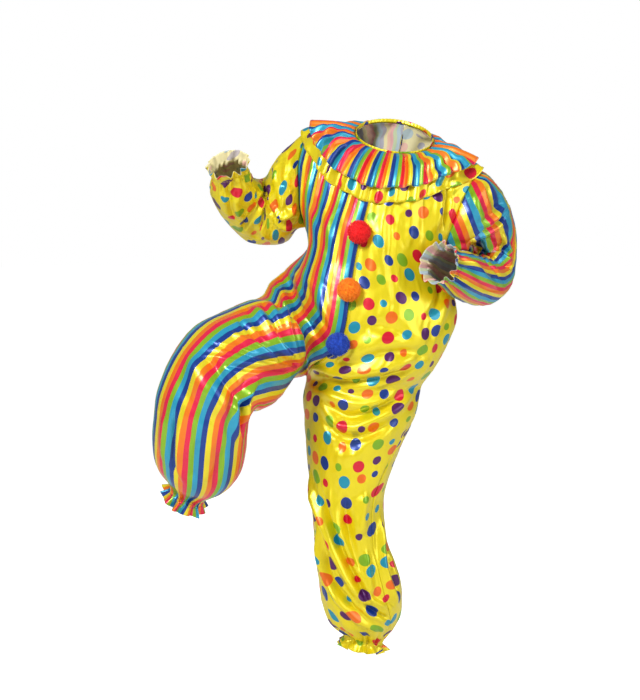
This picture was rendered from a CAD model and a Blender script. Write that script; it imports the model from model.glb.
import math

import bpy
import numpy as np
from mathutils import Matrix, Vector
from mathutils.bvhtree import BVHTree


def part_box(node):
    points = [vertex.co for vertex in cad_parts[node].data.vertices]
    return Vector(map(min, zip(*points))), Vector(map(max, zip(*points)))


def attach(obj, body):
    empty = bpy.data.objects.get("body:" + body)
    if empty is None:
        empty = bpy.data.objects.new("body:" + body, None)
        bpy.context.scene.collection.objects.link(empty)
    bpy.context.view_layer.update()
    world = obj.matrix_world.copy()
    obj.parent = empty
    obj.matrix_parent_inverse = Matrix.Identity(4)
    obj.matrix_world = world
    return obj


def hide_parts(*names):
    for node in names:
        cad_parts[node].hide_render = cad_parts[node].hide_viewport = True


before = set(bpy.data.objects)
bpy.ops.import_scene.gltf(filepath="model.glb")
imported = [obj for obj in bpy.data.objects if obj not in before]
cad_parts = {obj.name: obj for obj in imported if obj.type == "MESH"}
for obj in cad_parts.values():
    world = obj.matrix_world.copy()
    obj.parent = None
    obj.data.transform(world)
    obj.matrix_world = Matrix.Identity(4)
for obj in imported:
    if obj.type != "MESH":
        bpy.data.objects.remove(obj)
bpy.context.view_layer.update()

# Metres, +Z up, front towards -Y, origin on the neck's axis. Right and left are the wearer's own.

trunk = {
    "lean": 13.0, "turn": 13.0,  # degrees
    "neckHalfWidth": 0.101, "neckHalfDepth": 0.088, "neckSideDrop": 0.018, "neckFrontDrop": 0.045,
    "armholeBack": 1.5,
    "columns": 84, "rowSpacing": 0.0050,
    # key rows: the yoke's last, the armhole's last, the belly, the hip and the count above the legs
    "yokeRow": 3, "armholeRow": 6, "bellyRow": 8, "hipRow": 13, "keyRows": 14,
}


def metres(rows, angles=()):
    # the tables are in millimetres, apart from their columns of angles
    return [[v if k in angles else v / 1000 for k, v in enumerate(r)] for r in rows]


# neck angle, then the armhole edge: side, out, down, and how far the row swells
yoke = metres((
    (0, 226, 0, 45, 0), (32, 224, 22, 75, 14), (62, 220, 40, 106, 22), (90, 214, 52, 142, 30),
), angles=(0,))
# centre seam: down, shift, front, back
centreSeam = metres((
    (118, 0, 118, 112), (185, 0, 130, 122), (272, 0, 136, 124),
    (345, 3, 140, 120), (430, 12, 148, 130), (505, 19, 150, 146),
    (560, 12, 144, 156), (592, -22, 118, 148), (626, -62, 70, 100),
    (657, -84, 0, 0),
))
# outer edge of each row (side, out, down), then the row's middle in front and behind
rightRows = metres((
    (200, 56, 190, 118, 108, 150, 118, 102, 150), (186, 46, 245, 118, 112, 210, 118, 106, 210),
    (170, 0, 286, 116, 106, 276, 116, 98, 278), (147, 0, 320, 108, 106, 335, 108, 92, 335),
    (160, 0, 348, 104, 118, 385, 118, 100, 390), (180, 0, 374, 98, 130, 428, 128, 112, 440),
    (197, 0, 396, 88, 132, 464, 136, 122, 480), (204, -2, 408, 90, 116, 500, 146, 128, 510),
    (230, 10, 444, 100, 130, 522, 160, 130, 548), (238, 27, 480, 106, 154, 548, 176, 108, 570),
))
leftRows = metres((
    (208, 56, 188, 122, 108, 150, 122, 102, 150), (200, 46, 240, 124, 112, 212, 124, 106, 212),
    (196, 0, 292, 130, 110, 285, 130, 100, 285), (224, -30, 345, 140, 104, 345, 150, 102, 345),
    (258, -30, 420, 168, 110, 426, 172, 110, 426), (250, -12, 502, 176, 116, 505, 176, 116, 505),
    (232, -8, 565, 164, 114, 562, 160, 124, 562), (220, -20, 590, 138, 116, 596, 126, 130, 594),
    (212, -34, 606, 112, 114, 620, 80, 140, 622), (207, -49, 616, 104, 105, 642, 72, 142, 647),
))
# leg rings: centre x, y, z, half width, depth in front and behind, turn of the inseam, twist
rightLeg = metres((
    (-300, -112, -512, 130, 104, 120, 58, 0), (-359, -165, -547, 134, 110, 124, 30, 0),
    (-417, -228, -580, 132, 110, 106, 10, 0),
    (-450, -258, -616, 122, 106, 92, 0, 0), (-472, -266, -664, 118, 102, 88, 0, 0),
    (-481, -250, -718, 117, 102, 94, 0, 0),
    (-487, -222, -773, 116, 102, 104, 0, 0), (-491, -198, -818, 108, 98, 98, 0, 0),
    (-498, -180, -850, 88, 84, 84, 0, 0),
    (-507, -167, -874, 62, 61, 61, 0, 0), (-516, -157, -892, 45, 45, 45, 0, 0),
    (-521, -152, -901, 45, 45, 45, 0, 0),
    (-531, -142, -919, 58, 58, 58, 0, 0),
), angles=(6, 7))
leftLeg = metres((
    (-89, 4, -686, 146, 122, 144, 0, 10), (-103, 0, -758, 131, 110, 128, 0, 22),
    (-115, -12, -840, 112, 100, 110, 0, 34),
    (-121, -20, -936, 92, 92, 96, 0, 46), (-113, -16, -1050, 90, 92, 94, 0, 50),
    (-98, -8, -1116, 100, 98, 100, 0, 54),
    (-84, 1, -1185, 105, 102, 104, 0, 54), (-76, 7, -1240, 94, 92, 94, 0, 46),
    (-75, 10, -1274, 68, 67, 68, 0, 38),
    (-78, 12, -1295, 50, 48, 48, 0, 32), (-80, 13, -1304, 50, 48, 48, 0, 32),
    (-83, 14, -1323, 62, 61, 61, 0, 32),
), angles=(6, 7))
# sleeve rings: shoulder side x, y, z, underarm side x, y, z, half depth
rightSleeve = metres((
    (-283, 52, -50, -256, 36, -250, 76), (-314, 62, -92, -284, 82, -282, 74),
    (-332, 54, -118, -339, 108, -283, 72),
    (-342, 36, -127, -391, 112, -267, 70), (-350, 12, -128, -431, 74, -228, 67),
    (-358, -16, -122, -456, 24, -187, 64),
    (-364, -36, -112, -470, -12, -150, 58), (-370, -50, -102, -466, -34, -132, 48),
    (-374, -58, -94, -462, -46, -120, 44),
    (-374, -63, -88, -462, -52, -113, 44), (-368, -78, -72, -474, -68, -90, 54),
))
leftSleeve = metres((
    (228, -36, -108, 158, -36, -305, 76), (266, 35, -152, 190, 5, -284, 66),
    (295, 90, -233, 199, 22, -291, 63),
    (305, 99, -319, 199, 35, -305, 61), (296, 49, -389, 192, 33, -323, 61),
    (267, -25, -416, 179, 9, -336, 61),
    (229, -95, -409, 151, -37, -331, 61), (193, -151, -393, 123, -93, -321, 58),
    (161, -194, -374, 103, -138, -310, 50),
    (139, -215, -361, 92, -165, -309, 43), (133, -224, -358, 86, -174, -306, 43),
    (126, -248, -358, 67, -192, -294, 53),
))


def unit(v):
    v = np.asarray(v, float)
    return v / np.linalg.norm(v, axis=-1, keepdims=True)


lean, turn = math.radians(trunk["lean"]), math.radians(trunk["turn"])
chestUp = np.array((math.sin(lean), 0.0, math.cos(lean)))
chestSide = np.array((math.cos(turn), -math.sin(turn), 0.0))
chestSide = unit(chestSide - chestUp * (chestSide @ chestUp))
chestOut = np.cross(chestSide, chestUp)


def chestPoint(side, out, down):
    return chestSide * side + chestOut * out - chestUp * down


def neckPoint(angle, radius=1.0, rise=0.0):
    drop = trunk["neckSideDrop"] + trunk["neckFrontDrop"] * math.sin(angle) - rise
    return chestPoint(radius * trunk["neckHalfWidth"] * math.cos(angle),
                      radius * trunk["neckHalfDepth"] * math.sin(angle), drop)


def eased(t):
    # 0 to 1 with a soft start and end
    return t * t * (3 - 2 * t)


def quarterArc(inner, middle, outer, f):
    root = math.sqrt(0.5)
    origin = (root * (inner + outer) - middle) / (2 * root - 1)
    a = f[:, None] * math.pi / 2
    return origin + (inner - origin) * np.cos(a) + (outer - origin) * np.sin(a)


def halfArc(inner, middle, outer, f):
    centre = (inner + outer) / 2
    a = f[:, None] * math.pi
    return centre + (inner - centre) * np.cos(a) + (middle - centre) * np.sin(a)


def turned(v, axis, degrees):
    a = math.radians(degrees)
    return v * math.cos(a) + np.cross(axis, v) * math.sin(a)


def panelKeys(sign, face, f):
    keys = []
    reach = 1 if face > 0 else -trunk["armholeBack"]
    for neckAngle, side, out, down, swell in yoke:
        angle = math.radians(neckAngle) * face
        inner = neckPoint(angle if sign > 0 else math.pi - angle)
        outer = chestPoint(sign * side, out * reach, down)
        keys.append(inner + (outer - inner) * f[:, None] +
                    chestOut * face * swell * np.sin(math.pi * f)[:, None])
    for i, (c, s) in enumerate(zip(centreSeam, leftRows if sign > 0 else rightRows)):
        mid = s[3:6] if face > 0 else s[6:9]
        inner = chestPoint(c[1], face * (c[2] if face > 0 else c[3]), c[0])
        outer = chestPoint(sign * s[0], s[1] * (reach if i < 2 else 1), s[2])
        keys.append(quarterArc(inner, chestPoint(sign * mid[0], face * mid[1], mid[2]), outer, f))
    rings = leftLeg if sign > 0 else rightLeg
    centres = [np.array(r[:3]) for r in rings]
    across = unit((1.0, 0.0, 0.02) if sign > 0 else (-0.734, 0.332, 0.592))
    for i, r in enumerate(rings):
        along = unit(centres[min(i + 1, len(rings) - 1)] - centres[max(i - 1, 0)])
        across = unit(across - along * (across @ along))
        side = turned(across, along, r[7] * sign)
        inward = turned(side, along, r[6] * sign)
        out = np.cross(along, turned(side, along, r[6] * sign / 2)) * sign
        depth = r[4] if face > 0 else r[5]
        keys.append(halfArc(centres[i] - inward * r[3], centres[i] + out * face * depth,
                            centres[i] + side * r[3], f))
    return np.array(keys)


def blend(keys, steps, corners=()):
    # a curve through every column's key points; returns the rows and their place among the keys
    last = len(keys) - 1
    spans = np.maximum(np.linalg.norm(keys[1:] - keys[:-1], axis=2), 1e-4)[:, :, None]
    slopes = [(keys[1] - keys[0]) / spans[0]]
    slopes += [(keys[i + 1] - keys[i - 1]) / (spans[i] + spans[i - 1]) for i in range(1, last)]
    slopes.append((keys[last] - keys[last - 1]) / spans[last - 1])
    rows, places = [], []
    for i in range(last):
        first, second = slopes[i].copy(), slopes[i + 1].copy()
        if i + 1 in corners:
            second[0] = (keys[i + 1][0] - keys[i][0]) / spans[i][0]
        if i in corners:
            first[0] = (keys[i + 1][0] - keys[i][0]) / spans[i][0]
        for k in range(steps[i]):
            t = k / steps[i]
            rows.append((2 * t**3 - 3 * t**2 + 1) * keys[i] + (t**3 - 2 * t**2 + t) * spans[i] * first +
                        (3 * t**2 - 2 * t**3) * keys[i + 1] + (t**3 - t**2) * spans[i] * second)
            places.append(i + t)
    rows.append(keys[-1])
    places.append(float(last))
    return np.array(rows), np.array(places)




def stepsFor(keys, spacing):
    spans = np.linalg.norm(keys[1:] - keys[:-1], axis=2)
    return [max(1, int(round(np.percentile(s, 75) / spacing))) for s in spans]


# Smooth value noise, the same on every run and across seams because it reads places only.
def lattice(cell, seed):
    h = (cell[..., 0] * 374761393 + cell[..., 1] * 668265263 + cell[..., 2] * 2147483647 + seed * 974634777)
    h = (h ^ (h >> 13)) * 1274126177
    return ((h ^ (h >> 16)) & 0xffff) / 32767.5 - 1.0


def noise(p, size, seed=0):
    p = np.asarray(p, float) / size
    cell = np.floor(p).astype(np.int64)
    f = p - cell
    f = eased(f)
    total = 0.0
    for dx in (0, 1):
        for dy in (0, 1):
            for dz in (0, 1):
                weight = (np.where(dx, f[..., 0], 1 - f[..., 0]) * np.where(dy, f[..., 1], 1 - f[..., 1]) *
                          np.where(dz, f[..., 2], 1 - f[..., 2]))
                total = total + weight * lattice(cell + np.array((dx, dy, dz)), seed)
    return total


class Cloth:
    # a grid of points with its flat-cut place for each point; rows run across the piece
    def __init__(self, name, rows, flat, seamSides=("first", "last", "start", "end")):
        self.name, self.rows, self.flat = name, rows, flat
        self.normals = np.zeros_like(rows)
        self.seamSides = seamSides
        self.fromFirst = lengthsAcross(rows)
        self.fromLast = self.fromFirst[:, -1:] - self.fromFirst
        downSteps = np.linalg.norm(rows[1:] - rows[:-1], axis=2)
        self.fromStart = np.concatenate([np.zeros((1, rows.shape[1])), np.cumsum(downSteps, axis=0)])
        self.fromEnd = self.fromStart[-1:] - self.fromStart

    def seamDistance(self):
        sides = {"first": self.fromFirst, "last": self.fromLast, "start": self.fromStart, "end": self.fromEnd}
        return np.min([sides[s] for s in self.seamSides], axis=0)

    def quads(self):
        r, c = self.rows.shape[:2]
        a = (np.arange(r - 1)[:, None] * c + np.arange(c - 1)[None]).ravel()
        return np.stack([a, a + c, a + c + 1, a + 1], axis=1)


def trunkSteps(f):
    # the row counts that all four panels share, from the neck to the hip
    top = trunk["keyRows"]
    return np.maximum.reduce([stepsFor(panelKeys(sign, face, f)[:top], trunk["rowSpacing"])
                              for sign in (1, -1) for face in (1, -1)])


def lengthsAcross(rows):
    steps = np.linalg.norm(rows[:, 1:] - rows[:, :-1], axis=2)
    return np.concatenate([np.zeros((len(rows), 1)), np.cumsum(steps, axis=1)], axis=1)


ankleFrill = {"rows": 9, "waves": 12, "depth": 0.0075, "fineWaves": 17, "fine": 0.6, "raggedWaves": 5,
              "ragged": 0.35, "curl": 0.004, "flare": 1.1}
cuffFrill = {"rows": 9, "waves": 12, "depth": 0.0046, "main": 0.75, "drift": 0.8, "fineWaves": 17,
             "fine": 0.45, "raggedWaves": 3, "ragged": 0.35, "curl": 0.004, "flare": 1.0}
frillFall = 1.2  # how a frill's rows close up towards the elastic
# striped panels: across the flat cut at the inner and outer edge, by key row, so that the stripes follow it
stripedCut = {"even": False, "keys": (0, 1, 2, 3, 8, 11, 13, 25),
              "inner": (0.170, 0.144, 0.080, 0.0, 0.0, 0.0, -0.045, -0.045),
              "outer": (0.385, 0.378, 0.370, 0.360, 0.335, 0.330, 0.335, 0.335)}
# dotted panels keep true lengths, so that the dots stay round
dottedCut = {"even": True, "ease": 1.05, "start": 0.19}
flatCut = {
    "frontRight": stripedCut, "backRight": stripedCut, "frontLeft": dottedCut, "backLeft": dottedCut,
    "sleeveRight": {"even": True},
    # the head is gathered; in front the stripes hang straight from the armhole to the bend
    "sleeveLeft": {"even": False, "width": 0.588, "head": 0.030, "headLength": 0.15,
                   "hangAcross": (0.93, 0.0, 0.37), "hangScale": 1.06, "bendRow": 3.0, "hangEnd": 3.4,
                   "hangFade": 0.9},
}


def addFrill(rows, places, frill, top, low, middle, along, swing, ragged):
    # rows below the elastic, which spread out from the middle in waves
    n = frill["rows"]
    extra = []
    for k in range(1, n + 1):
        t = k / n
        row = top + (low - top) * t ** frillFall
        row = row + unit(low - middle) * (frill["depth"] * swing * ragged * t ** frill["flare"])[:, None]
        extra.append(row - along * (frill["curl"] * swing * t)[:, None])
    return np.concatenate([rows, extra]), np.concatenate([places, places[-1] + np.arange(1, n + 1) / n])


def makePanel(name, sign, face):
    f = np.linspace(0, 1, trunk["columns"] + 1)
    keys = panelKeys(sign, face, f)
    hip = trunk["hipRow"]
    legs = np.maximum.reduce([stepsFor(panelKeys(sign, h, f)[hip:-1], trunk["rowSpacing"]) for h in (1, -1)])
    rows, places = blend(keys[:-1], list(trunkSteps(f)) + list(legs), (trunk["yokeRow"], hip))
    frill = ankleFrill
    top, low = keys[-2], keys[-1]
    middle = (low[0] + low[-1]) / 2
    swing = (np.cos(math.pi * f * frill["waves"]) +
             frill["fine"] * np.sin(math.pi * f) * np.sin(math.pi * f * frill["fineWaves"] + face + sign))
    ragged = 1 + frill["ragged"] * np.sin(math.pi * f * frill["raggedWaves"] + 2.0 * sign + face)
    rows, places = addFrill(rows, places, frill, top, low, middle, unit(middle - (top[0] + top[-1]) / 2),
                            swing, ragged)
    # flat cut: across from the row's own length, along from the chest, then from the leg's length
    arcs = lengthsAcross(rows)
    table = flatCut[name]
    down = -(rows @ chestUp)
    turnRow = int(np.searchsorted(places, float(trunk["bellyRow"])))
    steps = np.linalg.norm(rows[1:] - rows[:-1], axis=2)
    if table["even"]:  # true lengths across and down each column
        across = arcs * table["ease"] - arcs[:, -1:] * table["ease"] / 2 + table["start"]
        columns = np.concatenate([np.zeros((1, rows.shape[1])), np.cumsum(steps, axis=0)])
        along = columns - columns[turnRow] + down[turnRow]
    else:
        inner, outer = (np.interp(places, table["keys"], table[side]) for side in ("inner", "outer"))
        across = inner[:, None] + (outer - inner)[:, None] * (arcs / arcs[:, -1:])
        along = down.copy()
        for i in range(turnRow + 1, len(rows)):
            along[i] = along[i - 1] + steps[i - 1].mean()
    if sign * face < 0:  # so that every panel faces outwards
        rows, across, along = rows[:, ::-1], across[:, ::-1], along[:, ::-1]
    item = Cloth(name, rows, np.stack([across, along], axis=2), ("first", "last", "start"))
    item.places = places
    item.elasticRow = len(rows) - frill["rows"] - 1
    return item


def armholeLoop(sign):
    f = np.linspace(0, 1, trunk["columns"] + 1)
    shared = trunkSteps(f)
    edges = []
    for face in (1, -1):
        rows, _ = blend(panelKeys(sign, face, f)[:trunk["keyRows"]], list(shared), (trunk["yokeRow"],))
        edges.append(rows[:int(sum(shared[:trunk["armholeRow"]])) + 1, -1])
    return np.concatenate([edges[0], edges[1][-2:0:-1]])


shoulderLean = (2.5, 0.5, 0.0)  # how far the first rings lean towards the shoulder


def makeSleeve(name, sign):
    loop = armholeLoop(sign)
    count = len(loop)
    rings = leftSleeve if sign > 0 else rightSleeve
    centres = [loop.mean(axis=0)] + [(np.array(r[:3]) + np.array(r[3:6])) / 2 for r in rings]
    keys = [loop]
    a = 2 * math.pi * np.arange(count) / count
    for i, r in enumerate(rings):
        centre, across = centres[i + 1], np.array(r[:3]) - centres[i + 1]
        along = unit(centres[min(i + 2, len(rings))] - centres[i])
        if i < len(shoulderLean):
            along = along + chestSide * sign * shoulderLean[i]
        out = unit(np.cross(along, across)) * sign
        keys.append(centre + across * np.cos(a)[:, None] + out * r[6] * np.sin(a)[:, None])
    keys = np.array(keys)
    rows, places = blend(keys[:-1], stepsFor(keys[:-1], trunk["rowSpacing"]))
    frill = cuffFrill
    swing = (frill["main"] * np.cos(a * frill["waves"] + frill["drift"] * np.sin(2 * a + sign)) +
             frill["fine"] * np.cos(a * frill["fineWaves"] + 1.1))
    ragged = 1 + frill["ragged"] * np.sin(frill["raggedWaves"] * a + 1.3 * sign)
    rows, places = addFrill(rows, places, frill, keys[-2], keys[-1], centres[-1],
                            unit(centres[-1] - centres[-2]), swing, ragged)
    # the sleeve's own seam runs along the underarm
    rows = np.roll(rows, count // 2, axis=1)
    rows = np.concatenate([rows, rows[:, :1]], axis=1)
    if sign > 0:
        rows = rows[:, ::-1]
    arcs = lengthsAcross(rows)
    cut = flatCut[name]
    if cut["even"]:
        across = arcs - arcs[:, -1:] / 2
    else:
        # the gathered head turns the stripes aslant where they leave the armhole
        share = arcs / arcs[:, -1:] - 0.5
        down = np.concatenate([[0.0], np.cumsum(np.linalg.norm(rows[1:] - rows[:-1], axis=2).mean(axis=1))])
        fade = 1 - np.clip(down / cut["headLength"], 0, 1)
        fade = eased(fade)[:, None]
        gathered = np.sign(share) * cut["head"] * np.sin(2 * math.pi * np.abs(share)) * fade
        across = share * cut["width"] + gathered
        hang = np.array(cut["hangAcross"])
        bend = int(np.searchsorted(places, cut["bendRow"]))
        middles = (rows.max(axis=1) + rows.min(axis=1)) / 2
        depths = np.maximum((rows.max(axis=1) - rows.min(axis=1))[:, 1:2] / 2, 0.03)
        front = np.clip(1.5 * (middles[:, 1:2] - rows[..., 1]) / depths, 0, 1)
        upper = np.clip((cut["hangEnd"] - places) / cut["hangFade"], 0, 1)[:, None]
        weight = eased(front) * eased(upper)
        j = int(np.argmin(rows[bend, :, 1]))
        rise = np.sign((across[bend, j + 4] - across[bend, j - 4]) *
                       ((rows[bend, j + 4] - rows[bend, j - 4]) @ hang))
        plane = across[bend, j] + rise * cut["hangScale"] * ((rows - rows[bend, j]) @ hang)
        across = across * (1 - weight) + plane * weight
    step = np.percentile(np.linalg.norm(rows[1:] - rows[:-1], axis=2), 70, axis=1)
    along = np.concatenate([[0.0], np.cumsum(step)])[:, None] + np.zeros((1, rows.shape[1]))
    item = Cloth(name, rows, np.stack([across, along], axis=2), ("first", "last", "start"))
    item.places = places
    item.elasticRow = len(rows) - frill["rows"] - 1
    return item


def smoothNormals(pieces):
    # outward directions, shared where pieces meet
    points = np.concatenate([p.rows.reshape(-1, 3) for p in pieces])
    sums = []
    for p in pieces:
        q, n = p.rows.reshape(-1, 3), np.zeros((p.rows.shape[0] * p.rows.shape[1], 3))
        faces = p.quads()
        a, b = q[faces[:, 2]] - q[faces[:, 0]], q[faces[:, 3]] - q[faces[:, 1]]
        normal = np.cross(a, b)
        for k in range(4):
            np.add.at(n, faces[:, k], normal)
        sums.append(n)
    sums = np.concatenate(sums)
    _, index = np.unique(np.round(points * 5e4).astype(np.int64), axis=0, return_inverse=True)
    index = index.ravel()
    total = np.zeros((index.max() + 1, 3))
    np.add.at(total, index, sums)
    outward = total[index]
    outward /= np.maximum(np.linalg.norm(outward, axis=1, keepdims=True), 1e-12)
    start = 0
    for p in pieces:
        n = p.rows.shape[0] * p.rows.shape[1]
        p.normals = outward[start:start + n].reshape(p.rows.shape)
        start += n


def treeOf(pieces):
    points, faces = [], []
    for p in pieces:
        start = len(points)
        points.extend(map(tuple, p.rows.reshape(-1, 3)))
        faces.extend(tuple(int(k) + start for k in f) for f in p.quads())
    return BVHTree.FromPolygons(points, faces)


# rays towards a pivot in the chest find the cloth: how many, the angle between them, their start and length
probe = {"pivotDown": 0.15, "count": 60, "turn": 0.025, "from": 0.8, "length": 0.78, "missStep": 0.004}


def collarGrid(tree, width, columns, shares, lifts):
    # strips outward from the neckline, lifted off the cloth below
    pivot = chestPoint(0, 0, probe["pivotDown"])
    rows = [[] for _ in shares]
    for j in range(columns + 1):
        turn = -math.pi / 2 - 2 * math.pi * j / columns
        start = neckPoint(turn)
        flat = unit(chestSide * math.cos(turn) * trunk["neckHalfWidth"] +
                    chestOut * math.sin(turn) * trunk["neckHalfDepth"])
        ray = unit(start - pivot)
        tilt = math.atan2(ray @ flat, ray @ chestUp)
        path = [start]
        for k in range(probe["count"]):
            tilt += probe["turn"]
            aim = chestUp * math.cos(tilt) + flat * math.sin(tilt)
            hit = tree.ray_cast(Vector(pivot + aim * probe["from"]), Vector(-aim), probe["length"])
            path.append(np.array(hit[0]) if hit[0] is not None else path[-1] + flat * probe["missStep"])
        path = np.array(path)
        lengths = np.concatenate([[0.0], np.cumsum(np.linalg.norm(path[1:] - path[:-1], axis=1))])
        reach = width * (1 + 0.012 * math.sin(9 * turn) + 0.01 * math.sin(23 * turn + 1))  # uneven hem
        for row, share, lift in zip(rows, shares, lifts):
            base = np.array([np.interp(share * reach, lengths, path[:, k]) for k in range(3)])
            beside = float(base @ chestSide)
            out = unit(base - chestPoint(0.75 * beside, 0.0, 0.10 - float(base @ chestUp)))
            row.append(base + out * lift)
    return np.array(rows)


def smoothCollar(rows, passes):
    # evens out the cloth under a ruffle, so that it doesn't repeat the creases below
    for _ in range(passes):
        rows[:, 1:-1] = rows[:, 1:-1] * 0.5 + (rows[:, :-2] + rows[:, 2:]) * 0.25
    return rows


ruffles = {
    "collarLower": {"width": 0.140, "waves": 22, "perWave": 22, "rows": 30, "wave": 0.0066, "cutLength": 1.45,
                    "liftAt": (0.0, 0.22, 0.46, 0.72, 1.0), "lift": (0.0042, 0.008, 0.010, 0.010, 0.009),
                    "flatness": 1.0, "rise": 1.6, "tip": 0.0030, "wander": 0.16, "seed": 3},
    "collarUpper": {"width": 0.112, "waves": 38, "perWave": 18, "rows": 28, "wave": 0.0074, "cutLength": 1.55,
                    "liftAt": (0.0, 0.12, 0.5, 1.0), "lift": (0.0069, 0.0125, 0.021, 0.025),
                    "flatness": 0.9, "rise": 2.6, "tip": 0.0034, "wander": 0.16, "seed": 8},
}
ruffleGap = 0.0006  # between a ruffle's two ends, at the centre back


def makeRuffle(name, tree):
    r = ruffles[name]
    shares = np.linspace(0, 1, r["rows"])
    lifts = np.interp(shares, r["liftAt"], r["lift"])
    columns = r["waves"] * r["perWave"]
    rng = np.random.default_rng(r["seed"])
    bends, sizes = rng.uniform(-1, 1, r["waves"] + 2), rng.uniform(0.45, 1.30, r["waves"] + 2)
    tips = rng.uniform(-1, 1, r["waves"] + 2)

    def wave(place, share):
        w = place * r["waves"]
        k = int(w)
        t = w - k
        # folds wander sideways
        t = t + r["wander"] * bends[k] * math.sin(math.pi * t) * (0.4 + 0.6 * share)
        size = sizes[k] * (1 - t) + sizes[k + 1] * t
        tip = tips[k] * (1 - t) + tips[k + 1] * t
        swing = -math.cos(2 * math.pi * t)
        swing = math.copysign(abs(swing) ** r["flatness"], swing)
        rise = min(1.0, share * r["rise"]) ** 0.7
        return r["wave"] * swing * size * rise + r["tip"] * tip * share ** 3

    rows = collarGrid(tree, r["width"], columns, shares, lifts)
    rows = smoothCollar(rows, r["perWave"])
    sheet = Cloth(name, rows, np.zeros(rows.shape[:2] + (2,)), ("start",))
    smoothNormals([sheet])
    for i, share in enumerate(shares):
        for j in range(columns + 1):
            rows[i, j] += sheet.normals[i, j] * wave(j / columns, share)
    rows[:, 0] -= chestSide * ruffleGap / 2
    rows[:, -1] += chestSide * ruffleGap / 2
    across = np.linspace(0, r["cutLength"], columns + 1)[None] + np.zeros((r["rows"], 1))
    along = (shares * r["width"])[:, None] + np.zeros((1, columns + 1))
    return Cloth(name, rows, np.stack([across, along], axis=2), ("start",))


binding = {"columns": 240, "pucker": 0.0005, "puckers": 60, "lap": 0.0006}
# across the tape: share of the neck's radius, height above the neckline
tape = ((0.9755, 0.0006), (0.9775, 0.0040), (0.9800, 0.0085), (0.9790, 0.0100),
        (0.9690, 0.0102), (0.9650, 0.0088), (0.9620, 0.0040), (0.9600, 0.0006))


def makeBinding():
    b = binding
    count = b["columns"]
    rows = []
    for radius, rise in tape:
        row = []
        for j in range(count + 1):
            turn = -math.pi / 2 + 2 * math.pi * j / count
            pucker = b["pucker"] * math.sin(j * 2 * math.pi * b["puckers"] / count) * (0.4 + rise / 0.01)
            row.append(neckPoint(turn, radius + pucker / 0.095, rise + 0.3 * pucker))
        rows.append(row)
    rows = np.array(rows)
    rows[:, 0] += chestSide * b["lap"] / 2
    rows[:, -1] -= chestSide * b["lap"] / 2
    lengths = np.concatenate([[0.0], np.cumsum(np.linalg.norm(rows[2, 1:] - rows[2, :-1], axis=1))])
    widths = np.concatenate([[0.0], np.cumsum(np.linalg.norm(rows[1:, 0] - rows[:-1, 0], axis=1))])
    across = lengths[None] + np.zeros((len(rows), 1))
    along = widths[:, None] + np.zeros((1, count + 1))
    return Cloth("neckBinding", rows, np.stack([across, along], axis=2), ())


striped, dotted = ("frontRight", "backRight"), ("frontLeft", "backLeft")
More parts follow.
